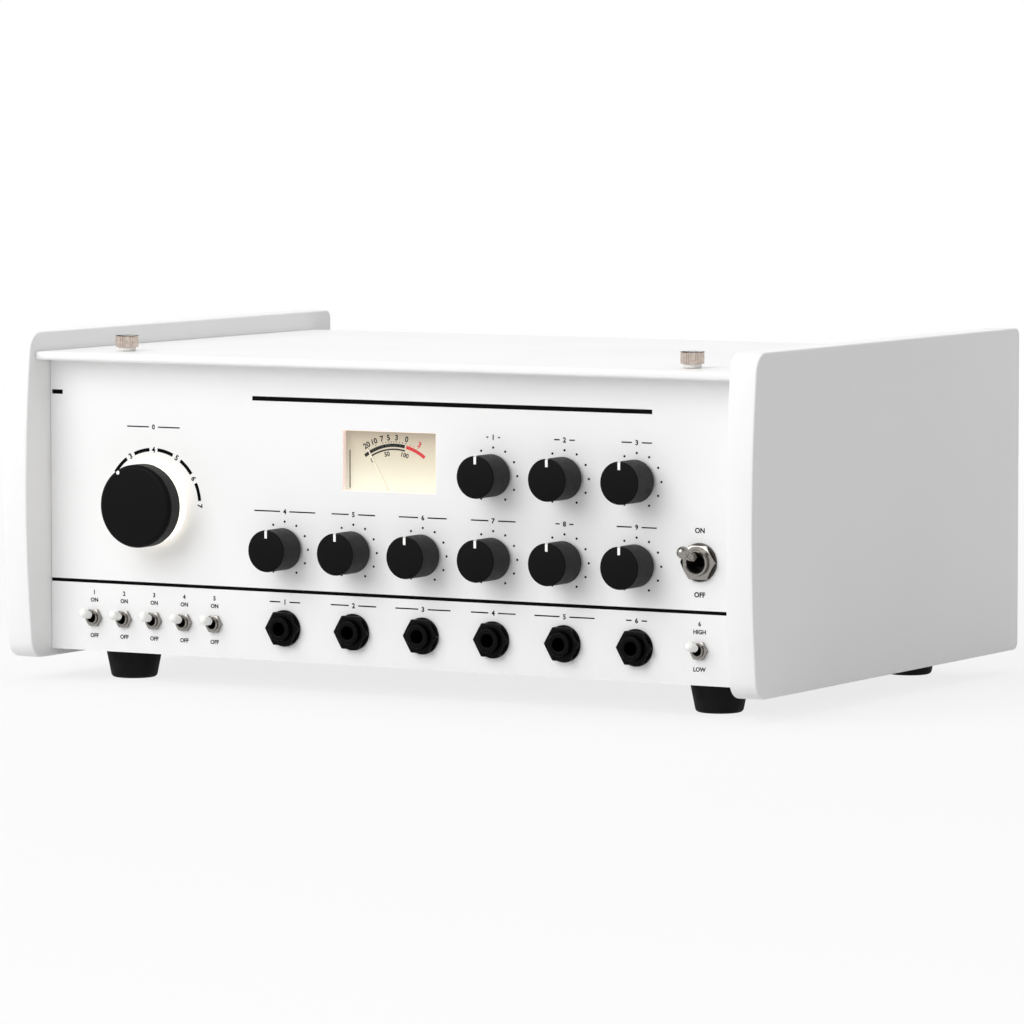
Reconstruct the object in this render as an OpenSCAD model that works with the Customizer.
// Tape echo unit: white case between two thick side panels, knobs and switches on the
// front, tape deck under a hinged lid. Millimetres, +Z up, front towards -Y, origin on
// the surface the feet stand on, under the middle of the case.

/* [Case] */
// Clear width between the side panels
inner_w = 381; // [378:1:400]
// Thickness of a side panel
side_t = 14; // [12:0.5:20]
// Height of a side panel
side_h = 158.2; // [156:0.1:170]
// Depth of a side panel, over its bowed front edge
side_d = 283.4; // [280:0.1:310]
// How far the front edge of a side panel bows out over its height
side_bow = 5.2; // [3:0.1:8]
// Corner radius at the front of a side panel
side_front_r = 8; // [5:0.5:12]
// Corner radius at the rear of a side panel
side_rear_r = 4; // [3:0.5:8]
// Rounding along a side panel's edges
side_edge_r = 2; // [0.5:0.5:2.5]
// How far a side panel reaches below the case
side_drop = 3.8; // [2:0.1:10]
// Front panel's setback behind the bowed front edge
panel_recess = 21.4; // [18:0.1:30]
// Rear wall's setback from the side panels' rear edge
rear_recess = 19; // [10:0.5:24]
// Sheet thickness of the chassis
sheet_t = 1.5; // [1:0.1:2]
// Thickness of the front panel
panel_t = 3; // [2:0.1:3.4]

/* [Lid] */
// Thickness of the lid
lid_t = 4; // [3:0.1:5]
// Rounding of the lid's front edge
lid_edge_r = 1.5; // [0.5:0.1:1.5]
// Lid top's drop below the side panels' top
lid_drop = 9.4; // [6:0.1:14]
// How far the lid's lip overhangs the front panel
lid_overhang = 13; // [8:0.5:16]
// Running gap round the lid
lid_gap = 0.3; // [0.2:0.1:0.6]
// Height of the lid's rear flange below its top
lid_flange_h = 16; // [12:0.5:20]
// Distance of each hinge from the middle
hinge_x = 120; // [90:1:140]
// Length of a hinge
hinge_len = 50; // [36:1:70]
// Height of a hinge leaf
hinge_leaf_h = 13; // [10:0.5:16]
// Thickness of a hinge leaf
hinge_leaf_t = 1.2; // [0.8:0.1:1.6]
// Outer radius of a hinge barrel
hinge_barrel_r = 2.4; // [2.2:0.1:3]
// Radius of a hinge pin
hinge_pin_r = 1.2; // [1:0.1:1.5]

/* [Thumbscrews] */
// Distance of each thumbscrew from the middle
thumb_x = 155; // [140:0.5:165]
// Thumbscrews' setback behind the front panel's face
thumb_inset = 13.8; // [10:0.1:16]
// Diameter of the knurled head
thumb_head_d = 11; // [9:0.1:14]
// Height of the knurled head
thumb_head_h = 5.5; // [4:0.1:8]
// Diameter of the collar under the head
thumb_collar_d = 8.6; // [7:0.1:9]
// Height of the collar
thumb_collar_h = 1.9; // [1:0.1:3]
// Diameter of the shank
thumb_shank_d = 4; // [3:0.1:5]
// Number of knurls
thumb_knurls = 22; // [16:1:30]

/* [Feet] */
// Height of a rubber foot below the case
foot_h = 15; // [12:0.1:24]
// Diameter of a foot where it meets the case
foot_top_d = 28; // [22:0.5:32]
// Diameter of a foot where it stands
foot_base_d = 22; // [18:0.5:22]
// Distance of each foot's centre from the case's front and sides
foot_inset = 29; // [22:0.5:45]
// Distance of each rear foot's centre from the case's rear face
foot_rear_inset = 15; // [15:0.5:45]

/* [Knob grid] */
// First small switch's distance from the panel's left edge
switch_inset = 25; // [22:0.1:28]
// Distance from the last small switch to the first column of knobs
left_gap = 39.65; // [36:0.05:44]
// Distance from the last column of knobs to the right-hand switches
right_gap = 32.95; // [30:0.05:36]
// Right-hand switches' distance from the panel's right edge
right_inset = 24.1; // [20:0.1:27]
// Upper knob row's height above the panel's lower edge
upper_row_h = 93; // [90:0.1:98]
// Lower knob row's height above the panel's lower edge
lower_row_h = 53.9; // [48:0.1:56]
// Jack row's height above the panel's lower edge
jack_row_h = 15.9; // [13:0.1:20]
// Switch row's height above the panel's lower edge
switch_row_h = 16.1; // [13:0.1:20]
// Mode knob's height above the panel's lower edge
mode_h = 72.4; // [66:0.1:76]
// Spacing of the miniature switches under the mode knob
switch_pitch = 17.2; // [15:0.1:19]
// Power switch's height above the panel's lower edge
power_h = 56.8; // [50:0.1:62]

/* [Knobs] */
// Diameter of a small knob
knob_d = 20; // [16:0.1:22]
// Length of a small knob
knob_len = 15.7; // [12:0.1:20]
// Gap between a small knob and the panel
knob_gap = 1.5; // [1:0.1:2]
// Length of a small knob's pointer line
pointer_len = 3.9; // [3:0.1:5]
// Width of a small knob's pointer line
pointer_w = 1.3; // [1:0.1:2]
// Diameter of the mode knob
mode_knob_d = 40; // [34:0.1:44]
// Length of the mode knob
mode_knob_len = 10; // [8:0.1:14]
// Gap between the mode knob and the panel
mode_knob_gap = 7.4; // [7:0.1:9]
// Rounding of the mode knob's rim
mode_rim_r = 2.2; // [1:0.1:3]
// Mode position at rest, in degrees from straight up
mode_rest = -30; // [-90:30:90]
// Diameter of the indicator dot
mode_dot_d = 1.9; // [1.4:0.1:2.2]
// Distance of the dot's middle from the knob's side
mode_dot_inset = 1.6; // [1.4:0.1:4]
// Outer diameter of the lit ring behind the mode knob
ring_d = 37; // [28:0.5:38]
// Diameter of the spindles
spindle_d = 6; // [4:0.1:6.2]

/* [Pots and switches] */
// Diameter of a potentiometer's can
pot_d = 17; // [14:0.5:20]
// Depth of a potentiometer's can
pot_len = 10; // [8:0.5:12]
// Diameter of the potentiometers' bushings
pot_bush_d = 7.4; // [7:0.1:8.4]
// Diameter of the mode switch's can
mode_can_d = 32; // [26:0.5:36]
// Depth of the mode switch's can
mode_can_len = 22; // [16:0.5:24]
// Diameter of the mode switch's bushing
mode_bush_d = 9.4; // [8:0.1:10]
// Diameter of a miniature switch's bushing
mini_bush_d = 6; // [5.8:0.1:6.4]
// Size across the flats of a miniature switch's nut
mini_nut_af = 8; // [7.5:0.1:9]
// Length of a miniature lever, from its pivot to its tip
mini_lever_len = 12.6; // [10:0.1:15]
// Diameter of a miniature lever's white cap
mini_cap_d = 4.8; // [4:0.1:5.4]
// Tilt of a miniature lever up or down
mini_tilt = 15; // [10:1:16]
// Diameter of the power switch's bushing
power_bush_d = 12; // [11:0.1:13]
// Size across the flats of the power switch's nut
power_nut_af = 15.6; // [14:0.1:17]
// Length of the power lever, from its pivot to the middle of its ball
power_lever_len = 18.4; // [15:0.1:19]
// Diameter of the power lever's ball
power_ball_d = 5.8; // [5:0.1:6.5]
// Tilt of the power lever up or down
power_tilt = 18; // [12:1:19]

/* [Jacks] */
// Bore of a jack, for a quarter-inch plug
jack_bore_d = 6.5; // [6.4:0.05:6.6]
// Diameter of a jack's threaded barrel
jack_barrel_d = 11; // [10:0.1:12]
// Diameter of a jack's flange
jack_flange_d = 17.5; // [17:0.1:19]
// Size across the flats of a jack's nut
jack_nut_af = 15.5; // [14:0.1:16]
// Depth of a jack's body behind the panel
jack_len = 24; // [20:0.5:28]

/* [Meter] */
// Width of the meter window
meter_w = 51.2; // [44:0.1:54]
// Height of the meter window
meter_win_h = 28.9; // [26:0.1:32]
// Meter window's middle, from the panel's middle
meter_x = 0.8; // [-2:0.1:4]
// Height of the window's middle above the panel's lower edge
meter_h = 97.2; // [94:0.1:100]
// Depth of the dial behind the panel's face
dial_depth = 5.6; // [5.2:0.1:7]
// Needle pivot's depth below the window's middle
needle_drop = 19.7; // [18:0.1:21]
// Length of the needle, from its pivot
needle_len = 29; // [26:0.1:31]
// Needle's angle at rest, in degrees from straight up
needle_rest = -30; // [-34:1:-24]

/* [Tape deck] */
// Depth of the deck plate below the case walls' top
deck_depth = 34.7; // [33:0.1:40]
// Thickness of the deck plate
deck_t = 2; // [1.5:0.1:3]
// Deck plate's setback behind the front panel's face
deck_inset = 34; // [32:0.5:38]
// Width of the tape
tape_w = 6.35; // [5:0.05:7]
// Thickness of the tape as modelled
tape_t = 0.25; // [0.2:0.05:0.3]
// Height of the tape's lower edge above the deck
tape_lift = 4; // [3.5:0.1:6]
// Tape line's distance behind the front panel's face
tape_line = 64; // [62:0.5:66]
// Width of the tape chamber
chamber_w = 250; // [220:1:260]
// Depth of the tape chamber
chamber_d = 112; // [100:1:118]
// Wall thickness of the tape chamber
chamber_t = 2; // [1.5:0.1:3]
// Height of the tape chamber's walls
chamber_h = 13; // [12:0.1:16]
// Thickness of the chamber's clear cover
cover_t = 2; // [1.5:0.1:3]
// Number of folds of tape lying in the chamber
folds = 9; // [5:1:11]
// Spacing of the heads
head_pitch = 24; // [22:0.5:26]
// Width of a head
head_w = 12; // [10:0.5:14]
// Height of a head
head_h = 13; // [11:0.5:16]
// Diameter of the capstan
capstan_d = 6; // [5:0.1:8]
// Capstan's place across the deck
capstan_x = 78; // [74:0.5:84]
// Diameter of the flywheel
flywheel_d = 80; // [60:1:84]
// Thickness of the flywheel
flywheel_t = 10; // [8:0.5:12]
// Distance of the flywheel below the deck plate
flywheel_drop = 16; // [12:0.5:20]
// Diameter of the motor's can
motor_d = 44; // [36:1:46]
// Length of the motor's can
motor_len = 44; // [30:1:46]
// Capstan motor's distance from the right wall
motor_inset = 41; // [37:0.5:45]
// Motor's distance behind the capstan
motor_dy = 84; // [80:0.5:92]
// Diameter of the motor pulley
pulley_d = 16; // [12:0.5:20]
// Thickness of the drive belt
belt_t = 1; // [0.6:0.1:1.4]
// Diameter of the pinch roller
roller_d = 20; // [16:0.5:22]
// Height of the pinch roller
roller_h = 11; // [10:0.5:13]
// Distance from the pinch arm's pivot to the roller
arm_len = 34; // [30:0.5:38]
// Distance from the pinch arm's pivot to its tail pin
tail_len = 25; // [22:0.5:28]
// Turns of the solenoid plunger's spring
spring_turns = 6; // [4:1:6]

/* [Electronics] */
// Width of the main board
board_w = 190; // [150:1:200]
// Depth of the main board
board_d = 150; // [120:1:160]
// Height of the main board's standoffs
standoff_h = 8; // [5:0.5:12]
// Width of the transformer's core
core_w = 66; // [56:1:72]
// Height of the transformer's core
core_h = 55; // [46:1:58]
// Stack thickness of the transformer's core
core_t = 30; // [24:1:36]
// Width of the reverb tank
tank_w = 235; // [200:1:240]
// Depth of the reverb tank
tank_d = 96; // [80:1:100]
// Height of the reverb tank
tank_h = 33; // [26:1:36]

/* [Hidden] */
$fn = 48;

// Shared clearances
free_gap = 0.5;
play = 0.05;
eps = 0.01;
thread_gap = 0.1;
seat_gap = 0.1;

// Planes of the case
front_y = -side_d / 2 + panel_recess;
panel_back = front_y + panel_t;
rear_y = side_d / 2 - rear_recess;
rear_in = rear_y - sheet_t;
base_z = foot_h;
floor_z = base_z + sheet_t;
side_z = base_z - side_drop;
side_top = side_z + side_h;
side_mid = side_z + side_h / 2;
lid_top = side_top - lid_drop;
lid_z = lid_top - lid_t;
wall_top = lid_z - lid_gap;
wall_x = inner_w / 2 - sheet_t;
deck_z = wall_top - deck_depth;
deck_low = deck_z - deck_t;
lid_flange_z = lid_top - lid_flange_h;
rear_top = lid_flange_z - free_gap;

// Outline of a side panel
bow_r = (pow(side_h / 2, 2) + pow(side_bow, 2)) / (2 * side_bow);
bow_y = -side_d / 2 + bow_r;
nose_dist = bow_r - side_front_r;
nose_dz = side_h / 2 - side_front_r;
nose_a = asin(nose_dz / nose_dist);
nose_y = bow_y - nose_dist * cos(nose_a);
rear_corner_y = side_d / 2 - side_rear_r;

// Sites on the front panel, as [x, z]
mode_x = -inner_w / 2 + switch_inset + 2 * switch_pitch;
right_x = inner_w / 2 - right_inset;
first_x = mode_x + 2 * switch_pitch + left_gap;
knob_pitch = (right_x - right_gap - first_x) / 5;
knob_x = [for (i = [0:5]) first_x + i * knob_pitch];
upper_z = base_z + upper_row_h;
lower_z = base_z + lower_row_h;
jack_z = base_z + jack_row_h;
switch_z = base_z + switch_row_h;
mode_z = base_z + mode_h;
power_z = base_z + power_h;
meter_z = base_z + meter_h;
knob_sites = concat(
    [for (i = [3:5]) [knob_x[i], upper_z]],
    [for (i = [0:5]) [knob_x[i], lower_z]]);
switch_sites = concat(
    [for (i = [-2:2]) [mode_x + i * switch_pitch, switch_z]],
    [[right_x, switch_z]]);
jack_sites = [for (x = knob_x) [x, jack_z]];
foot_x = inner_w / 2 - foot_inset;
foot_sites = [for (x = [-foot_x, foot_x], y = [front_y + foot_inset, rear_y - foot_rear_inset]) [x, y]];
thumb_y = front_y + thumb_inset;

// Screws
screw_d = 3.8;
screw_head_d = 7;
screw_head_h = 2.2;
side_screw_len = 11;
side_screw_y = [front_y + 26, (front_y + rear_y) / 2, rear_y - 26];
side_screw_z = [floor_z + 22, deck_low - 24];
foot_screw_len = 12;

// Mains inlet and vent in the rear wall
inlet_wall_gap = 70.5;
inlet_x = inner_w / 2 - inlet_wall_gap;
inlet_z = floor_z + 32;
inlet_body = [40, 27.6];
inlet_flange = [60, 31];
inlet_flange_t = 2.5;
inlet_depth = 26;
vent_x = -140;
vent_pitch = 9;
vent_w = 3;
vent_h = 34;

// Hinge of the lid
hinge_y = rear_y + hinge_barrel_r;
hinge_z = lid_flange_z - 0.2;
knuckle_gap = 0.2;
lid_knuckle_len = hinge_len * 0.4;
hinge_screw_z = hinge_z - hinge_leaf_h + 4.5;
hinge_screw_dx = hinge_len / 3;
hinge_screw_sites = [for (h = [-hinge_x, hinge_x], x = [-hinge_screw_dx, hinge_screw_dx])
    [h + x, hinge_screw_z]];
inlet_screw_x = inlet_flange[0] / 2 - 5;
inlet_screw_sites = [for (x = [-inlet_screw_x, inlet_screw_x]) [inlet_x + x, inlet_z]];

// Rail behind the front panel's top edge, with the thumbscrews' bosses under it
rail_depth = 24;
boss_r = 4.6;
boss_h = 6;
boss_bore_r = thumb_shank_d / 2 + 0.7;
thumb_shank_z = wall_top - sheet_t - boss_h - 1;

// Knob and bushing details
spindle_r = spindle_d / 2;
bush_len = 4.2;
knob_recess_d = 14.6;
knob_recess_len = 3.6;
knob_bore_len = 12;
pot_nut_af = 10;
pot_nut_t = 2;
mode_nut_af = 13;
mode_nut_t = 2.4;
mode_bush_len = mode_knob_gap - 1.2;
ring_bore_d = 17;
ring_t = mode_knob_gap - 0.8;
inlay_depth = 0.4;

// Miniature and power switches
pin_gap = 0.25;
mini_pivot_y = front_y + 0.6;
mini_bush_out = 2.9;
mini_bore_d = 4.6;
mini_nut_t = 2;
mini_body = [8, 13, 9.4];
mini_rod_d = 2.4;
mini_cap_from = 5.4;
mini_pin_r = 0.5;
mini_pin_half = mini_bore_d / 2 - pin_gap;
power_pivot_y = front_y + 1;
power_bush_out = 4.6;
power_bore_d = 9.6;
power_nut_t = 2.2;
power_washer_d = 18;
power_washer_t = 0.8;
power_body = [18, 28, 26];
power_rod_d = 3.6;
power_pin_r = 1;
power_pin_half = power_bore_d / 2 - pin_gap;

// Jacks
jack_flange_t = 1.2;
jack_nut_t = 2.2;
jack_out = 5.9;
jack_body_w = 16;
jack_body_h = 20;

// Meter
meter_wall = 1.5;
meter_margin = 2.8;
meter_depth = 24;
dial_y = front_y + dial_depth;
dial_t = 0.8;
needle_z = meter_z - needle_drop;
needle_t = 0.4;
needle_y = dial_y - 0.5 - needle_t;
window_t = 1;
housing_low = needle_z - 9;
housing_high = meter_z + meter_win_h / 2 + meter_margin;
housing_w = meter_w + 2 * meter_margin + 2 * meter_wall;

// Tape deck
deck_front = front_y + deck_inset;
deck_rear = rear_in - free_gap;
deck_half = wall_x - free_gap;
ledge_w = 12;
ledge_t = 1.5;
deck_screw_x = deck_half - 6;
deck_screw_y = [deck_front + 8, 0, deck_rear - 8];
deck_screw_sites = [for (x = [-deck_screw_x, deck_screw_x], y = deck_screw_y) [x, y]];
line_y = front_y + tape_line;
tape_z = deck_z + tape_lift;
chamber_x = -15;
chamber_y = deck_rear - chamber_d - 2;
chamber_x0 = chamber_x - chamber_w / 2;
chamber_x1 = chamber_x + chamber_w / 2;
mouth_w = 9;
mouth_inset = 8;
entry_x = chamber_x1 - mouth_inset;
exit_x = chamber_x0 + mouth_inset;
head_x = [for (i = [0:4]) -46 + i * head_pitch];
head_d = 12;
head_face = line_y + tape_t / 2 + 0.15;
head_block_w = 4 * head_pitch + head_w + 8;
head_block_h = 2.6;
capstan_r = capstan_d / 2;
capstan_y = line_y + tape_t / 2 + 0.25 + capstan_r;
bearing_d = 16;
bearing_up = 1;
flywheel_z1 = deck_low - flywheel_drop;
flywheel_z0 = flywheel_z1 - flywheel_t;
belt_z = (flywheel_z0 + flywheel_z1) / 2;
belt_w = 5;
belt_gap = 0.3;
motor_x = wall_x - motor_inset;
motor_y = capstan_y + motor_dy;
motor_top = flywheel_z0 - 4;
motor_post_r = 16.5;
motor_shaft_r = 1.5;
pulley_h = 8;
roller_x = capstan_x;
roller_y = line_y - tape_t / 2 - 0.25 - roller_d / 2;
roller_z0 = tape_z - (roller_h - tape_w) / 2;
roller_hub_r = 4;
axle_r = 2;
arm_t = 1.2;
arm_z = deck_z + 0.3;
pivot_x = roller_x + arm_len;
pivot_y = roller_y;
tail_y = pivot_y + tail_len;
plunger_z = deck_z + 10;
plunger_r = 4;
tongue_t = 3;
solenoid_size = [28, 22, 20];
solenoid_x = pivot_x + 22;
tail_pin_r = 1.5;
collar_x = pivot_x + 9;
collar_t = 1.5;
collar_r = 6.4;
spring_d = 0.8;
spring_r = 5.4;
spring_gap = 0.3;
spring_x0 = collar_x + collar_t + spring_gap;
spring_x1 = solenoid_x - spring_gap;

// Guide posts that the tape goes round, as [x, y]
guide_r = 2.2;
guide_rim_r = 4;
guide_base_h = tape_lift - 0.4;
guide_gap = 0.15;
guide_in_x = -112;
guide_lead_x = -76;
guide_out_dx = 4;
guide_out_dy = 14;
guide_flange = 1.4;
guide_taper = 0.2;
guide_in = [guide_in_x, line_y + guide_r + guide_gap + tape_t / 2];
guide_lead = [guide_lead_x, line_y - guide_r - guide_gap - tape_t / 2];
guide_out = [entry_x - guide_out_dx, line_y + guide_out_dy];
guide_sites = [guide_in, guide_lead, guide_out];

// ---- shared shapes ----

module rod_x(r, x0, x1) { translate([x0, 0, 0]) rotate([0, 90, 0]) cylinder(r = r, h = x1 - x0); }
module rod_y(r, y0, y1) { translate([0, y0, 0]) rotate([-90, 0, 0]) cylinder(r = r, h = y1 - y0); }
module rod_z(r, z0, z1) { translate([0, 0, z0]) cylinder(r = r, h = z1 - z0); }
module hex_y(af, y0, y1) {
    translate([0, y0, 0]) rotate([-90, 0, 0]) cylinder(r = af / 2 / cos(30), h = y1 - y0, $fn = 6);
}
module block(x0, x1, y0, y1, z0, z1) { translate([x0, y0, z0]) cube([x1 - x0, y1 - y0, z1 - z0]); }
module extrude_x(x0, x1) {
    translate([x0, 0, 0]) rotate([90, 0, 90]) linear_extrude(height = x1 - x0) children();
}
module at_site(site) { translate([site[0], 0, site[1]]) children(); }
module each_site(sites) { for (s = sites) at_site(s) children(); }

// A turned shape about +Z from [radius, height] points
module turned(profile) { rotate_extrude() polygon(profile); }
// The same, lying along -Y with its height 0 at y = from
module turned_out(profile, from) { translate([0, from, 0]) rotate([90, 0, 0]) turned(profile); }

function arc_points(cy, cz, r, a0, a1, n) =
    [for (i = [0:n]) let (a = a0 + (a1 - a0) * i / n) [cy + r * cos(a), cz + r * sin(a)]];

// ---- case ----

function side_outline(inset) = concat(
    arc_points(nose_y, side_mid + nose_dz, side_front_r - inset, 90, 180 - nose_a, 6),
    [for (i = [1:13]) let (a = 180 - nose_a + 2 * nose_a * i / 14)
        [bow_y + (bow_r - inset) * cos(a), side_mid + (bow_r - inset) * sin(a)]],
    arc_points(nose_y, side_mid - nose_dz, side_front_r - inset, 180 + nose_a, 270, 6),
    arc_points(rear_corner_y, side_z + side_rear_r, side_rear_r - inset, 270, 360, 5),
    arc_points(rear_corner_y, side_top - side_rear_r, side_rear_r - inset, 0, 90, 5));

// A side panel with rounded edges, from x = 0 to its thickness
module side_board() {
    steps = 4;
    edge = [for (k = [0:steps]) let (a = 90 * k / steps)
        [side_edge_r * (1 - cos(a)), side_edge_r * (1 - sin(a))]];
    rings = concat(edge, [for (k = [steps:-1:0]) [side_t - edge[k][0], edge[k][1]]]);
    n = len(side_outline(0));
    points = [for (ring = rings) each [for (p = side_outline(ring[1])) [ring[0], p[0], p[1]]]];
    walls = [for (j = [0:len(rings) - 2], i = [0:n - 1]) let (k = (i + 1) % n)
        [j * n + i, (j + 1) * n + i, (j + 1) * n + k, j * n + k]];
    near_cap = [for (i = [0:n - 1]) i];
    far_cap = [for (i = [n - 1:-1:0]) (len(rings) - 1) * n + i];
    polyhedron(points = points, faces = concat(walls, [near_cap], [far_cap]), convexity = 4);
}

module side_screw_holes(r) {
    for (y = side_screw_y, z = side_screw_z)
        translate([0, y, z]) rod_x(r, -side_screw_len, side_screw_len);
}

module left_side_panel() {
    color("#f2f2f0") difference() {
        translate([-inner_w / 2 - side_t, 0, 0]) side_board();
        translate([-inner_w / 2, 0, 0]) side_screw_holes(screw_d / 2 + play);
    }
}

module right_side_panel() {
    color("#f2f2f0") difference() {
        translate([inner_w / 2, 0, 0]) side_board();
        translate([inner_w / 2, 0, 0]) side_screw_holes(screw_d / 2 + play);
    }
}

module chassis_tray() {
    color("#d9d9d6") difference() {
        union() {
            block(-inner_w / 2, inner_w / 2, panel_back, rear_y, base_z, floor_z);
            block(-inner_w / 2, inner_w / 2, rear_in, rear_y, base_z, rear_top);
            for (m = [0, 1]) mirror([m, 0, 0]) {
                block(wall_x, inner_w / 2, panel_back, rear_y, base_z, wall_top);
                block(wall_x - ledge_w, wall_x + eps, deck_front, rear_y - eps,
                    deck_low - ledge_t, deck_low);
                block(wall_x - ledge_w, wall_x + eps, panel_back, panel_back + sheet_t,
                    floor_z, deck_low - ledge_t);
                translate([thumb_x, thumb_y, 0]) rod_z(boss_r, wall_top - sheet_t - boss_h, wall_top);
            }
            block(-wall_x - eps, wall_x + eps, panel_back, panel_back + rail_depth,
                wall_top - sheet_t, wall_top);
        }
        for (x = [-thumb_x, thumb_x])
            translate([x, thumb_y, 0]) rod_z(boss_bore_r, wall_top - boss_h - sheet_t - 1, wall_top + 1);
        for (m = [0, 1]) mirror([m, 0, 0])
            translate([inner_w / 2, 0, 0]) side_screw_holes(screw_d / 2 + thread_gap);
        for (s = foot_sites)
            translate([s[0], s[1], 0]) rod_z(screw_d / 2 + thread_gap, base_z - eps, floor_z + eps);
        for (s = deck_screw_sites)
            translate([s[0], s[1], 0])
                rod_z(screw_d / 2 + thread_gap, deck_low - ledge_t - 1, deck_low + 1);
        for (s = concat(inlet_screw_sites, hinge_screw_sites))
            at_site(s) rod_y(screw_d / 2 + thread_gap, rear_in - 1, rear_y + 1);
        block(inlet_x - inlet_body[0] / 2 - thread_gap, inlet_x + inlet_body[0] / 2 + thread_gap,
            rear_in - eps, rear_y + eps,
            inlet_z - inlet_body[1] / 2 - thread_gap, inlet_z + inlet_body[1] / 2 + thread_gap);
        for (i = [0:11]) let (x = vent_x + i * vent_pitch)
            block(x, x + vent_w, rear_in - eps, rear_y + eps, inlet_z - vent_h / 2, inlet_z + vent_h / 2);
    }
}

module front_panel() {
    half = inner_w / 2 - 0.2;
    color("#f4f4f2") difference() {
        block(-half, half, front_y, panel_back, base_z, wall_top);
        block(meter_x - meter_w / 2, meter_x + meter_w / 2, front_y - 1, panel_back + 1,
            meter_z - meter_win_h / 2, meter_z + meter_win_h / 2);
        each_site(knob_sites) rod_y(pot_bush_d / 2 + thread_gap, front_y - 1, panel_back + 1);
        at_site([mode_x, mode_z]) rod_y(mode_bush_d / 2 + thread_gap, front_y - 1, panel_back + 1);
        each_site(switch_sites) rod_y(mini_bush_d / 2 + thread_gap, front_y - 1, panel_back + 1);
        at_site([right_x, power_z]) rod_y(power_bush_d / 2 + thread_gap, front_y - 1, panel_back + 1);
        each_site(jack_sites) rod_y(jack_barrel_d / 2 + thread_gap, front_y - 1, panel_back + 1);
    }
}

module rubber_feet() {
    edge = 1.4;
    recess_r = 5;
    recess_h = foot_h - 5;
    bore_r = screw_d / 2 + thread_gap;
    color("#1c1c1c") for (s = foot_sites) translate([s[0], s[1], 0])
        turned([[recess_r, 0], [foot_base_d / 2 - edge, 0], [foot_base_d / 2, edge],
            [foot_top_d / 2, foot_h], [bore_r, foot_h], [bore_r, recess_h], [recess_r, recess_h]]);
}

// A pan head screw along +Z, its head's seat at z = 0 and its shank below
module pan_screw(len) {
    difference() {
        union() {
            rod_z(screw_d / 2, -len, eps);
            turned([[0, 0], [screw_head_d / 2, 0], [screw_head_d / 2, screw_head_h * 0.5],
                [screw_head_d / 2 - 1.2, screw_head_h], [0, screw_head_h]]);
        }
        for (a = [0, 90]) rotate([0, 0, a])
            block(-screw_head_d / 4, screw_head_d / 4, -0.5, 0.5, screw_head_h - 1, screw_head_h + 1);
    }
}

module case_screws() {
    color("#b9babb") {
        for (m = [0, 1], y = side_screw_y, z = side_screw_z) mirror([m, 0, 0])
            translate([wall_x, y, z]) rotate([0, -90, 0]) pan_screw(side_screw_len);
        for (s = foot_sites)
            translate([s[0], s[1], foot_h - 5]) rotate([180, 0, 0]) pan_screw(foot_screw_len);
        for (s = deck_screw_sites) translate([s[0], s[1], deck_z]) pan_screw(deck_t + ledge_t + 3);
        for (s = inlet_screw_sites)
            translate([s[0], rear_y + inlet_flange_t, s[1]]) rotate([-90, 0, 0]) pan_screw(6);
        for (s = hinge_screw_sites)
            translate([s[0], rear_y + hinge_leaf_t, s[1]]) rotate([-90, 0, 0]) pan_screw(5);
    }
}

// ---- lid ----

module hinge_knuckle(x0, x1) {
    translate([0, hinge_y, hinge_z]) rod_x(hinge_barrel_r, x0, x1);
}

module lid() {
    half = inner_w / 2 - lid_gap;
    flange_half = wall_x - lid_gap;
    nose = front_y - lid_overhang;
    color("#f4f4f2") difference() {
        union() {
            extrude_x(-half, half) {
                translate([nose + lid_edge_r, lid_z]) square([rear_y - nose - lid_edge_r, lid_t]);
                translate([nose, lid_z + lid_edge_r]) square([lid_edge_r + eps, lid_t - 2 * lid_edge_r]);
                for (z = [lid_z + lid_edge_r, lid_top - lid_edge_r])
                    translate([nose + lid_edge_r, z]) circle(r = lid_edge_r);
            }
            block(-flange_half, flange_half, rear_in, rear_y, lid_flange_z, lid_z + eps);
            for (h = [-hinge_x, hinge_x]) translate([h, 0, 0]) {
                block(-hinge_len / 2, hinge_len / 2, rear_y - eps, rear_y + hinge_leaf_t,
                    hinge_z + hinge_barrel_r + free_gap, hinge_z + hinge_leaf_h);
                block(-lid_knuckle_len / 2, lid_knuckle_len / 2, rear_y - eps, rear_y + hinge_leaf_t,
                    hinge_z + 0.3, hinge_z + hinge_leaf_h);
                hinge_knuckle(-lid_knuckle_len / 2, lid_knuckle_len / 2);
            }
        }
        for (x = [-thumb_x, thumb_x])
            translate([x, thumb_y, 0]) rod_z(thumb_shank_d / 2 + play, lid_z - 1, lid_top + 1);
        for (h = [-hinge_x, hinge_x])
            translate([h, hinge_y, hinge_z]) rod_x(hinge_pin_r + play, -hinge_len, hinge_len);
    }
}

module case_hinge_leaves() {
    color("#c4c5c7") for (h = [-hinge_x, hinge_x]) translate([h, 0, 0]) {
        difference() {
            union() {
                block(-hinge_len / 2, hinge_len / 2, rear_y, rear_y + hinge_leaf_t,
                    hinge_z - hinge_leaf_h, hinge_z - hinge_barrel_r - free_gap);
                for (m = [0, 1]) mirror([m, 0, 0]) {
                    block(lid_knuckle_len / 2 + knuckle_gap, hinge_len / 2, rear_y,
                        rear_y + hinge_leaf_t, hinge_z - hinge_leaf_h, hinge_z - 0.3);
                    hinge_knuckle(lid_knuckle_len / 2 + knuckle_gap, hinge_len / 2);
                }
            }
            for (x = [-hinge_screw_dx, hinge_screw_dx])
                translate([x, 0, hinge_screw_z])
                    rod_y(screw_d / 2 + play, rear_y - 1, rear_y + hinge_leaf_t + 1);
        }
        translate([0, hinge_y, hinge_z]) rod_x(hinge_pin_r, -hinge_len / 2, hinge_len / 2);
    }
}

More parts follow.
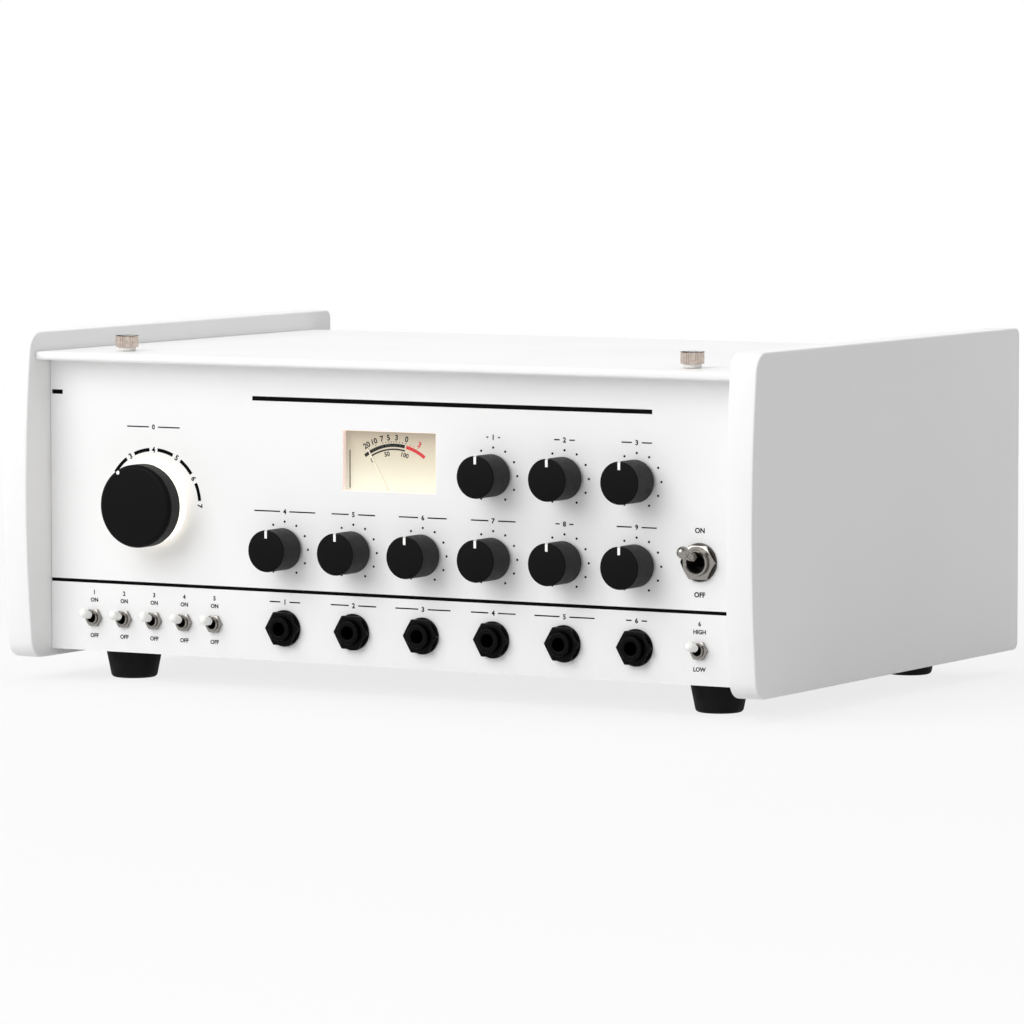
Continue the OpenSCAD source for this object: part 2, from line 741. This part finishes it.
module thumbscrew(x) {
    seat = lid_top + seat_gap;
    head_z = seat + thumb_collar_h;
    head_r = thumb_head_d / 2;
    knurl_r = PI * thumb_head_d / thumb_knurls / 4;
    color("#c9c6c0") translate([x, thumb_y, 0]) difference() {
        union() {
            rod_z(thumb_shank_d / 2, thumb_shank_z, seat + eps);
            rod_z(thumb_collar_d / 2, seat, head_z + eps);
            turned([[0, head_z], [head_r - 0.5, head_z], [head_r, head_z + 0.5],
                [head_r, head_z + thumb_head_h - 0.6], [head_r - 0.6, head_z + thumb_head_h],
                [0, head_z + thumb_head_h]]);
        }
        for (i = [0:thumb_knurls - 1]) rotate([0, 0, i * 360 / thumb_knurls])
            translate([head_r + knurl_r * 0.45, 0, 0])
                rod_z(knurl_r, head_z - 1, head_z + thumb_head_h + 1, $fn = 16);
    }
}
module thumbscrew_left() { thumbscrew(-thumb_x); }
module thumbscrew_right() { thumbscrew(thumb_x); }

// ---- knobs and their controls ----

// A small knob on its spindle, pointer up
module small_knob(site) {
    r = knob_d / 2;
    back = front_y - knob_gap;
    face = back - knob_len;
    color("#232323") at_site(site) {
        difference() {
            turned_out([[0, 0], [r - 0.3, 0], [r, 0.3], [r, knob_len - 0.5],
                [r - 0.5, knob_len], [0, knob_len]], back);
            rod_y(knob_recess_d / 2, back - knob_recess_len, back + 1);
            rod_y(spindle_r, back - knob_bore_len, back + 1);
            block(-pointer_w / 2, pointer_w / 2, face - 1, face + inlay_depth, r - pointer_len, r + 1);
        }
        rod_y(spindle_r - play, back - knob_bore_len + play, panel_back + pot_len / 2 - play);
    }
}
module knob_bass() { small_knob(knob_sites[0]); }
module knob_treble() { small_knob(knob_sites[1]); }
module knob_feedback() { small_knob(knob_sites[2]); }
module knob_input_volume() { small_knob(knob_sites[3]); }
module knob_chorus_rate() { small_knob(knob_sites[4]); }
module knob_chorus_depth() { small_knob(knob_sites[5]); }
module knob_reverb_volume() { small_knob(knob_sites[6]); }
module knob_speed() { small_knob(knob_sites[7]); }
module knob_echo_volume() { small_knob(knob_sites[8]); }

// Threaded nut in front of the panel, clear of the bushing it holds
module panel_nut(af, bush_d, t, from) {
    difference() {
        hex_y(af, from - t, from);
        rod_y(bush_d / 2 + play, from - t - 1, from + 1);
    }
}

module potentiometers() {
    color("#8f9092") each_site(knob_sites) {
        difference() {
            union() {
                rod_y(pot_d / 2, panel_back, panel_back + pot_len);
                rod_y(pot_bush_d / 2, front_y - bush_len, panel_back + eps);
                block(-6, 6, panel_back + 3, panel_back + 4, -pot_d / 2 - 5, 0);
            }
            rod_y(spindle_r, front_y - bush_len - 1, panel_back + pot_len / 2);
        }
        panel_nut(pot_nut_af, pot_bush_d, pot_nut_t, front_y);
    }
}

module mode_knob() {
    r = mode_knob_d / 2;
    back = front_y - mode_knob_gap;
    face = back - mode_knob_len;
    rim = [for (a = [0:15:90])
        [r - mode_rim_r * (1 - cos(a)), mode_knob_len - mode_rim_r * (1 - sin(a))]];
    color("#242424") at_site([mode_x, mode_z]) {
        difference() {
            turned_out(concat([[0, 0], [r - 0.5, 0], [r, 0.5]], rim, [[0, mode_knob_len]]), back);
            rod_y(spindle_r, back - mode_knob_len + 2, back + 1);
            rotate([0, mode_rest, 0]) translate([0, 0, r - mode_dot_inset])
                rod_y(mode_dot_d / 2, face - 1, face + mode_rim_r / 2 + inlay_depth);
        }
        rod_y(spindle_r - play, back - mode_knob_len + 2 + play, panel_back + mode_can_len / 2 - play);
    }
}

module mode_light_ring() {
    color("#fff6dc") at_site([mode_x, mode_z]) difference() {
        turned_out([[0, 0], [ring_d / 2, 0], [ring_d / 2, ring_t - 0.6], [ring_d / 2 - 0.6, ring_t],
            [0, ring_t]], front_y);
        rod_y(ring_bore_d / 2, front_y - ring_t - 1, front_y + 1);
    }
}

module mode_switch() {
    color("#8f9092") at_site([mode_x, mode_z]) {
        difference() {
            union() {
                rod_y(mode_can_d / 2, panel_back, panel_back + mode_can_len);
                rod_y(mode_bush_d / 2, front_y - mode_bush_len, panel_back + eps);
            }
            rod_y(spindle_r, front_y - mode_bush_len - 1, panel_back + mode_can_len / 2);
        }
        panel_nut(mode_nut_af, mode_bush_d, mode_nut_t, front_y);
    }
}

// A miniature lever with its white cap, tilted up about its pivot
module mini_lever(site) {
    tip_r = mini_cap_d / 2;
    color("#f6f6f4") translate([site[0], mini_pivot_y, site[1]]) rotate([-mini_tilt, 0, 0]) {
        sphere(r = mini_rod_d / 2 + 0.5);
        rod_x(mini_pin_r, -mini_pin_half, mini_pin_half);
        rod_y(mini_rod_d / 2, -mini_cap_from - 1, 0);
        turned_out([[0, mini_cap_from], [tip_r * 0.72, mini_cap_from],
            [tip_r, mini_lever_len - tip_r], [tip_r * 0.87, mini_lever_len - tip_r / 2],
            [tip_r * 0.5, mini_lever_len - tip_r * 0.13], [0, mini_lever_len]], 0);
    }
}
module lever_direct() { mini_lever(switch_sites[0]); }
module lever_motor() { mini_lever(switch_sites[1]); }
module lever_sound_on_sound() { mini_lever(switch_sites[2]); }
module lever_echo() { mini_lever(switch_sites[3]); }
module lever_chorus() { mini_lever(switch_sites[4]); }
module lever_output_level() { mini_lever(switch_sites[5]); }

module mini_switches() {
    color("#c8c9cb") each_site(switch_sites) difference() {
        union() {
            rod_y(mini_bush_d / 2, front_y - mini_bush_out, panel_back + eps);
            block(-mini_body[0] / 2, mini_body[0] / 2, panel_back, panel_back + mini_body[2],
                -mini_body[1] / 2, mini_body[1] / 2);
            for (z = [-4, 0, 4])
                block(-0.4, 0.4, panel_back + mini_body[2] - eps, panel_back + mini_body[2] + 4,
                    z - 1, z + 1);
        }
        rod_y(mini_bore_d / 2, front_y - mini_bush_out - 1, mini_pivot_y + 2.2);
    }
}

module power_lever() {
    ball_r = power_ball_d / 2;
    rod_r = power_rod_d / 2;
    color("#d0d1d3") translate([right_x, power_pivot_y, power_z]) rotate([-power_tilt, 0, 0]) {
        sphere(r = rod_r + 0.6);
        rod_x(power_pin_r, -power_pin_half, power_pin_half);
        turned_out([[0, 0], [rod_r, 0], [rod_r * 0.92, power_lever_len * 0.35],
            [ball_r * 0.86, power_lever_len - 1.4], [ball_r * 0.86, power_lever_len],
            [0, power_lever_len]], 0);
        translate([0, -power_lever_len, 0]) sphere(r = ball_r);
    }
}

module power_switch() {
    body = power_body;
    color("#c8c9cb") at_site([right_x, power_z]) difference() {
        union() {
            rod_y(power_bush_d / 2, front_y - power_bush_out, panel_back + eps);
            block(-body[0] / 2, body[0] / 2, panel_back, panel_back + body[2], -body[1] / 2, body[1] / 2);
            for (z = [-8, 0, 8])
                block(-3, 3, panel_back + body[2] - eps, panel_back + body[2] + 6, z - 0.5, z + 0.5);
        }
        rod_y(power_bore_d / 2, front_y - power_bush_out - 1, power_pivot_y + 3);
        turned_out([[0, -1.2], [power_bore_d / 2 - eps, -1.2], [power_bore_d / 2 + 0.6, eps], [0, eps]],
            front_y - power_bush_out);
    }
}

module switch_nuts() {
    color("#c8c9cb") {
        each_site(switch_sites) panel_nut(mini_nut_af, mini_bush_d, mini_nut_t, front_y);
        at_site([right_x, power_z]) {
            difference() {
                rod_y(power_washer_d / 2, front_y - power_washer_t, front_y);
                rod_y(power_bush_d / 2 + play, front_y - power_washer_t - 1, front_y + 1);
            }
            panel_nut(power_nut_af, power_bush_d, power_nut_t, front_y - power_washer_t - play);
        }
    }
}

module jacks() {
    color("#161616") each_site(jack_sites) difference() {
        union() {
            rod_y(jack_barrel_d / 2, front_y - jack_out, panel_back + eps);
            block(-jack_body_w / 2, jack_body_w / 2, panel_back, panel_back + jack_len,
                -jack_body_h / 2 + 1, jack_body_h / 2 + 1);
            for (z = [-5, 5])
                block(-2, 2, panel_back + jack_len - eps, panel_back + jack_len + 4, z - 0.4, z + 0.4);
        }
        rod_y(jack_bore_d / 2, front_y - jack_out - 1, panel_back + jack_len - 2);
    }
}

module jack_nuts() {
    color("#161616") each_site(jack_sites) {
        difference() {
            rod_y(jack_flange_d / 2, front_y - jack_flange_t, front_y);
            rod_y(jack_barrel_d / 2 + play, front_y - jack_flange_t - 1, front_y + 1);
        }
        panel_nut(jack_nut_af, jack_barrel_d, jack_nut_t, front_y - jack_flange_t - play);
    }
}

// ---- meter ----

module meter_housing() {
    half = housing_w / 2;
    back = panel_back + meter_depth;
    color("#e9e4d6") translate([meter_x, 0, 0]) difference() {
        block(-half, half, panel_back, back, housing_low - meter_wall, housing_high + meter_wall);
        block(-half + meter_wall, half - meter_wall, panel_back - 1, back - meter_wall,
            housing_low, housing_high);
    }
}

module meter_window() {
    half = housing_w / 2 - meter_wall - play;
    color([0.9, 0.95, 1, 0.35]) translate([meter_x, 0, 0])
        block(-half, half, panel_back + play, panel_back + play + window_t,
            housing_low + play, housing_high - play);
}

module meter_dial() {
    half = housing_w / 2 - meter_wall - play;
    color("#f3e6c0") translate([meter_x, 0, 0]) {
        difference() {
            union() {
                block(-half, half, dial_y, dial_y + dial_t, housing_low + play, housing_high - play);
                translate([0, 0, needle_z]) rod_y(8.5, dial_y + dial_t - eps,
                    panel_back + meter_depth - meter_wall - play);
            }
            translate([0, 0, needle_z]) rod_y(1.2 + play, dial_y - 1, dial_y + 9);
        }
    }
}

module meter_needle() {
    color("#f7f4ea") translate([meter_x, 0, needle_z]) {
        rod_y(1.2, needle_y, dial_y + 9 - play);
        rod_y(2.4, needle_y, needle_y + needle_t);
        rotate([0, needle_rest, 0])
            block(-0.22, 0.22, needle_y, needle_y + needle_t, 0, needle_len);
    }
}

// ---- tape deck ----

module deck_plate() {
    color("#2b2c2e") difference() {
        block(-deck_half, deck_half, deck_front, deck_rear, deck_low, deck_z);
        translate([capstan_x, capstan_y, 0]) rod_z(bearing_d / 2 + thread_gap, deck_low - 1, deck_z + 1);
        translate([pivot_x, pivot_y, 0]) rod_z(2.5, deck_low - 1, deck_z + 1);
        for (s = deck_screw_sites)
            translate([s[0], s[1], 0]) rod_z(screw_d / 2 + thread_gap, deck_low - 1, deck_z + 1);
    }
}

module head_block() {
    x0 = head_x[0] - head_w / 2 - 4;
    y1 = head_face + head_d;
    color("#9fa1a4") {
        block(x0, x0 + head_block_w, head_face + 2, y1 + 6, deck_z, deck_z + head_block_h);
        block(x0, x0 + head_block_w, y1 + 1, y1 + 6, deck_z + head_block_h - eps, deck_z + head_h - 2);
    }
}

// Heads with a bowed face towards the tape
module tape_heads() {
    face_r = 11;
    z0 = deck_z + head_block_h;
    color("#c9cacc") for (x = head_x) translate([x, 0, 0]) {
        intersection() {
            block(-head_w / 2, head_w / 2, head_face, head_face + head_d, z0, z0 + head_h);
            translate([0, head_face + face_r, 0]) rod_z(face_r, z0 - 1, z0 + head_h + 1);
        }
    }
}

module tape_guides() {
    guide_neck = tape_z + tape_w + guide_taper;
    color("#d2d3d5") for (g = guide_sites) translate([g[0], g[1], 0])
        turned([[0, deck_z], [guide_rim_r, deck_z], [guide_rim_r, deck_z + guide_base_h],
            [guide_r, deck_z + guide_base_h + guide_taper], [guide_r, guide_neck],
            [guide_rim_r, guide_neck + guide_taper], [guide_rim_r, guide_neck + guide_taper + guide_flange],
            [0, guide_neck + guide_taper + guide_flange]]);
}

// The tape's middle line, once round, anticlockwise seen from above
wrap_r = guide_r + guide_gap + tape_t / 2;
wrap_in = [198, 270];
wrap_out = [305, 355];
fold_x0 = chamber_x0 + 16;
fold_x1 = chamber_x1 - 16;
fold_mid_y = chamber_y + chamber_d * 0.5;
fold_amp = chamber_d * 0.36;
fold_steps = 14;
function wrap(c, a0, a1, n) =
    [for (i = [0:n]) let (a = a0 + (a1 - a0) * i / n) [c[0] + wrap_r * cos(a), c[1] + wrap_r * sin(a)]];
function fold_points() = [for (i = [0:folds * fold_steps])
    let (t = i / fold_steps, lean = 3 * sin(t * 131))
    [fold_x1 + (fold_x0 - fold_x1) * t / folds + lean * sin(t * 180),
        fold_mid_y - fold_amp * cos(t * 180) * (0.84 + 0.12 * cos(t * 77))]];
function tape_line_points() = concat(
    wrap(guide_in, wrap_in[0], wrap_in[1], 4),
    [[guide_lead[0], line_y], [capstan_x + 4, line_y]],
    wrap(guide_out, wrap_out[0], wrap_out[1], 3),
    [[entry_x + 1.2, chamber_y + 2], [entry_x, chamber_y + 8]],
    [for (p = fold_points()) p],
    [[exit_x, chamber_y + 9], [exit_x - 0.6, chamber_y + 2]]);

// Both edges of a closed strip round a line of points
function strip_edge(line, off) = [for (i = [0:len(line) - 1])
    let (n = len(line), a = line[(i + n - 1) % n], b = line[(i + 1) % n],
        d = b - a, l = norm(d)) line[i] + off * [d[1], -d[0]] / l];

module tape_loop() {
    line = tape_line_points();
    n = len(line);
    color("#4a2f22") translate([0, 0, tape_z]) linear_extrude(height = tape_w, convexity = 8)
        polygon(points = concat(strip_edge(line, tape_t / 2), strip_edge(line, -tape_t / 2)),
            paths = [[for (i = [0:n - 1]) i], [for (i = [0:n - 1]) n + i]]);
}

module tape_chamber() {
    z1 = deck_z + chamber_h;
    color("#3a3b3d") difference() {
        block(chamber_x0, chamber_x1, chamber_y, chamber_y + chamber_d, deck_z, z1);
        block(chamber_x0 + chamber_t, chamber_x1 - chamber_t, chamber_y + chamber_t,
            chamber_y + chamber_d - chamber_t, deck_z + 1.2, z1 + 1);
        for (x = [entry_x, exit_x])
            block(x - mouth_w / 2, x + mouth_w / 2, chamber_y - 1, chamber_y + chamber_t + 1,
                deck_z + 1.2, z1 + 1);
    }
}

module chamber_cover() {
    z0 = deck_z + chamber_h;
    color([0.85, 0.9, 0.95, 0.35])
        block(chamber_x0, chamber_x1, chamber_y, chamber_y + chamber_d, z0, z0 + cover_t);
}

module capstan_bearing() {
    color("#b08d4a") translate([capstan_x, capstan_y, 0]) difference() {
        union() {
            rod_z(bearing_d / 2, flywheel_z1 + 0.3, deck_z + bearing_up);
            rod_z(bearing_d / 2 + 4, deck_low - 2, deck_low);
        }
        rod_z(capstan_r + play, flywheel_z1 - 1, deck_z + bearing_up + 1);
    }
}

module flywheel() {
    r = flywheel_d / 2;
    color("#a9abae") translate([capstan_x, capstan_y, 0]) union() {
        turned([[0, flywheel_z0], [11, flywheel_z0], [11, flywheel_z0 + 3], [r - 9, flywheel_z0 + 3],
            [r - 9, flywheel_z0], [r, flywheel_z0], [r, flywheel_z1], [r - 9, flywheel_z1],
            [r - 9, flywheel_z1 - 3], [11, flywheel_z1 - 3], [11, flywheel_z1], [0, flywheel_z1]]);
        rod_z(capstan_r, flywheel_z1 - eps, tape_z + tape_w + 4);
    }
}

module capstan_motor() {
    r = motor_d / 2;
    color("#6f7276") translate([motor_x, motor_y, 0]) {
        rod_z(r, motor_top - motor_len, motor_top);
        rod_z(motor_shaft_r, motor_top - eps, belt_z + pulley_h / 2 + 2);
        for (a = [0, 90, 315]) rotate([0, 0, a])
            translate([motor_post_r, 0, 0]) rod_z(2.5, motor_top - eps, deck_low);
    }
}

module motor_pulley() {
    r = pulley_d / 2;
    z0 = belt_z - pulley_h / 2;
    z1 = belt_z + pulley_h / 2;
    color("#c2a05a") translate([motor_x, motor_y, 0]) difference() {
        turned([[0, z0], [r + 1.2, z0], [r + 1.2, z0 + 1], [r, z0 + 1.2], [r, z1 - 1.2],
            [r + 1.2, z1 - 1], [r + 1.2, z1], [0, z1]]);
        rod_z(motor_shaft_r + play, z0 - 1, z1 + 1);
    }
}

module belt_outline(extra) {
    hull() {
        translate([capstan_x, capstan_y]) circle(r = flywheel_d / 2 + belt_gap + extra);
        translate([motor_x, motor_y]) circle(r = pulley_d / 2 + belt_gap + extra);
    }
}

module drive_belt() {
    color("#202020") translate([0, 0, belt_z - belt_w / 2]) linear_extrude(height = belt_w)
        difference() {
            belt_outline(belt_t);
            belt_outline(0);
        }
}

module pinch_arm() {
    color("#b4b6b9") difference() {
        union() {
            block(roller_x - 5, pivot_x + 5, pivot_y - 5, pivot_y + 5, arm_z, arm_z + arm_t);
            block(pivot_x - 5, pivot_x + 5, pivot_y, tail_y + 4, arm_z, arm_z + arm_t);
            translate([pivot_x, pivot_y, 0]) {
                rod_z(2.45, deck_low, arm_z + arm_t);
                rod_z(4, arm_z, arm_z + 8);
            }
            translate([roller_x, roller_y, 0]) {
                rod_z(axle_r + 1.5, arm_z, roller_z0 - 0.2);
                rod_z(axle_r, arm_z, roller_z0 + roller_h + 1);
            }
            translate([pivot_x, tail_y, 0]) rod_z(tail_pin_r, arm_z, plunger_z + tongue_t);
        }
    }
}

module pinch_roller() {
    r = roller_d / 2;
    z1 = roller_z0 + roller_h;
    color("#262626") translate([roller_x, roller_y, 0]) {
        difference() {
            turned([[0, roller_z0], [r - 0.5, roller_z0], [r, roller_z0 + 0.5], [r, z1 - 0.5],
                [r - 0.5, z1], [0, z1]]);
            rod_z(roller_hub_r, roller_z0 - 1, z1 + 1);
        }
        difference() {
            rod_z(roller_hub_r - play, roller_z0, z1);
            rod_z(axle_r + play, roller_z0 - 1, z1 + 1);
        }
    }
}

module solenoid() {
    s = solenoid_size;
    color("#55585c") difference() {
        block(solenoid_x, solenoid_x + s[0], tail_y - s[1] / 2, tail_y + s[1] / 2, deck_z, deck_z + s[2]);
        translate([0, tail_y, plunger_z])
            rod_x(plunger_r + thread_gap, solenoid_x - 1, solenoid_x + s[0] - 3);
    }
}

module solenoid_plunger() {
    hole_r = tail_pin_r + 0.6;
    inside = solenoid_x + solenoid_size[0] - 9;
    color("#cfd0d2") translate([0, tail_y, plunger_z]) difference() {
        union() {
            rod_x(collar_r, collar_x, collar_x + collar_t);
            rod_x(plunger_r, collar_x, inside);
            block(pivot_x - 4.5, collar_x + eps, -4, 4, -tongue_t / 2, tongue_t / 2);
        }
        translate([pivot_x, 0, 0]) rod_z(hole_r, -tongue_t, tongue_t);
    }
}

// The spring round the plunger: one tube on a line of points, each with its radial direction
spring_rings = 8;
spring_run = spring_x1 - spring_x0 - 2 * spring_d;
function spring_point(i) = let (a = i * 360 / spring_rings, t = i / (spring_turns * spring_rings))
    [spring_x0 + spring_d + spring_run * t, spring_r * cos(a), spring_r * sin(a)];
function spring_line() = let (n = spring_turns * spring_rings)
    concat([spring_point(0) - [spring_d, 0, 0]], [for (i = [0:n]) spring_point(i)],
        [spring_point(n) + [spring_d, 0, 0]]);

module plunger_spring() {
    line = spring_line();
    n = len(line);
    sides = 6;
    half_turn = spring_rings / 2;
    least = min([for (i = [0:n - 1 - half_turn], j = [i + half_turn:n - 1]) norm(line[i] - line[j])]);
    echo(plunger_spring_least_gap = least - spring_d);
    points = [for (i = [0:n - 1]) each let (
        run = line[min(i + 1, n - 1)] - line[max(i - 1, 0)],
        radial = [0, line[i][1], line[i][2]] / spring_r,
        side = cross(run / norm(run), radial))
        [for (k = [0:sides - 1]) line[i] + spring_d / 2 * (radial * cos(k * 60) + side * sin(k * 60))]];
    walls = [for (i = [0:n - 2], k = [0:sides - 1]) each let (m = (k + 1) % sides, a = i * sides)
        [[a + k, a + sides + m, a + sides + k], [a + k, a + m, a + sides + m]]];
    start = [for (k = [1:sides - 2]) [0, k + 1, k]];
    end = [for (k = [1:sides - 2]) let (b = (n - 1) * sides) [b, b + k, b + k + 1]];
    color("#c5c6c8") translate([0, tail_y, plunger_z])
        polyhedron(points = points, faces = concat(walls, start, end), convexity = 8);
}

// ---- electronics ----

tank_x0 = -wall_x + ledge_w + 2;
tank_y1 = deck_rear - 6;
tank_wall = 1.2;
bracket_end = 18;
bracket_half_w = 8;
bracket_h = 20;
spring_rod_r = 2;
spring_rod_h = 12;

module reverb_tank() {
    x1 = tank_x0 + tank_w;
    y0 = tank_y1 - tank_d;
    z0 = deck_low - tank_h;
    wall = tank_wall;
    color("#b5b7ba") {
        difference() {
            block(tank_x0, x1, y0, tank_y1, z0, deck_low);
            block(tank_x0 + wall, x1 - wall, y0 + wall, tank_y1 - wall, z0 + wall, deck_low + 1);
        }
        for (y = [y0 + 0.3 * tank_d, y0 + 0.7 * tank_d]) {
            block(tank_x0 + wall, tank_x0 + bracket_end, y - bracket_half_w, y + bracket_half_w,
                z0 + wall - eps, z0 + bracket_h);
            block(x1 - bracket_end, x1 - wall, y - bracket_half_w, y + bracket_half_w,
                z0 + wall - eps, z0 + bracket_h);
            translate([0, y, z0 + spring_rod_h])
                rod_x(spring_rod_r, tank_x0 + bracket_end - eps, x1 - bracket_end + eps);
        }
    }
}

board_x0 = -80;
board_setback = 44;
board_y0 = panel_back + board_setback;
board_z = floor_z + standoff_h;
board_t = 1.6;
post_inset = 6;
post_r = 3;
chip_w = 10;
chip_d = 20;
chip_h = 4;
chip_x = 18;
chip_y = 30;
chip_dx = 26;
chip_dy = 34;
cap_r = 5;
cap_h = 14;
cap_x = 20;
cap_dx = 25;
cap_inset = 12;

module main_board() {
    x1 = board_x0 + board_w;
    y1 = board_y0 + board_d;
    top = board_z + board_t;
    color("#2f6b3c") {
        block(board_x0, x1, board_y0, y1, board_z, top);
        for (x = [board_x0 + post_inset, x1 - post_inset], y = [board_y0 + post_inset, y1 - post_inset])
            translate([x, y, 0]) rod_z(post_r, floor_z, board_z + eps);
        for (i = [0:5], j = [0:2])
            translate([board_x0 + chip_x + i * chip_dx, board_y0 + chip_y + j * chip_dy, 0])
                block(0, chip_w, 0, chip_d, top - eps, top + chip_h);
        for (i = [0:6])
            translate([board_x0 + cap_x + i * cap_dx, y1 - cap_inset, 0])
                rod_z(cap_r, top - eps, top + cap_h);
    }
}

core_wall_gap = 18;
core_rear_gap = 32.2;
coil_out = 12;
coil_inset = 8;
coil_w = core_w * 0.66;
core_x = -wall_x + core_wall_gap + core_w / 2;
core_y = rear_in - core_rear_gap - coil_out - core_t / 2;
module power_transformer() {
    z1 = floor_z + core_h;
    color("#8a7a5c") translate([core_x, core_y, 0]) {
        block(-core_w / 2, core_w / 2, -core_t / 2, core_t / 2, floor_z, z1);
        block(-coil_w / 2, coil_w / 2, -core_t / 2 - coil_out, core_t / 2 + coil_out,
            floor_z + coil_inset, z1 - coil_inset);
    }
}

// Appliance inlet with a fuse drawer under its socket, in the rear wall
pin_w = 4;
pin_t = 2;
pin_setback = 5;
module mains_inlet() {
    socket_w = 24;
    socket_h = 16.4;
    socket_depth = 17;
    sx = 8;
    y_face = rear_y + inlet_flange_t;
    color("#1b1b1b") translate([inlet_x, 0, inlet_z]) {
        difference() {
            union() {
                block(-inlet_flange[0] / 2, inlet_flange[0] / 2, rear_y, y_face,
                    -inlet_flange[1] / 2, inlet_flange[1] / 2);
                block(-inlet_body[0] / 2, inlet_body[0] / 2, rear_y - inlet_depth, rear_y + eps,
                    -inlet_body[1] / 2, inlet_body[1] / 2);
            }
            block(sx - socket_w / 2 - 1, sx + socket_w / 2 - 1, y_face - socket_depth, y_face + 1,
                -socket_h / 2, socket_h / 2);
            block(-inlet_body[0] / 2 + 3, -inlet_body[0] / 2 + 11, y_face - 1.2, y_face + 1, -11, 11);
            for (x = [-inlet_screw_x, inlet_screw_x])
                translate([x, 0, 0]) rod_y(screw_d / 2 + play, rear_y - 1, y_face + 1);
        }
        for (p = [[-7, -2], [7, -2], [0, 2]])
            block(sx - 1 + p[0] - pin_t / 2, sx - 1 + p[0] + pin_t / 2,
                y_face - socket_depth - eps, y_face - pin_setback, p[1] - pin_w / 2, p[1] + pin_w / 2);
    }
}

chassis_tray();
front_panel();
left_side_panel();
right_side_panel();
rubber_feet();
case_screws();
lid();
case_hinge_leaves();
thumbscrew_left();
thumbscrew_right();
knob_bass();
knob_treble();
knob_feedback();
knob_input_volume();
knob_chorus_rate();
knob_chorus_depth();
knob_reverb_volume();
knob_speed();
knob_echo_volume();
potentiometers();
mode_knob();
mode_light_ring();
mode_switch();
lever_direct();
lever_motor();
lever_sound_on_sound();
lever_echo();
lever_chorus();
lever_output_level();
mini_switches();
power_lever();
power_switch();
switch_nuts();
jacks();
jack_nuts();
meter_housing();
meter_dial();
meter_window();
meter_needle();
deck_plate();
head_block();
tape_heads();
tape_guides();
tape_loop();
tape_chamber();
chamber_cover();
capstan_bearing();
flywheel();
capstan_motor();
motor_pulley();
drive_belt();
pinch_arm();
pinch_roller();
solenoid();
solenoid_plunger();
plunger_spring();
reverb_tank();
main_board();
power_transformer();
mains_inlet();
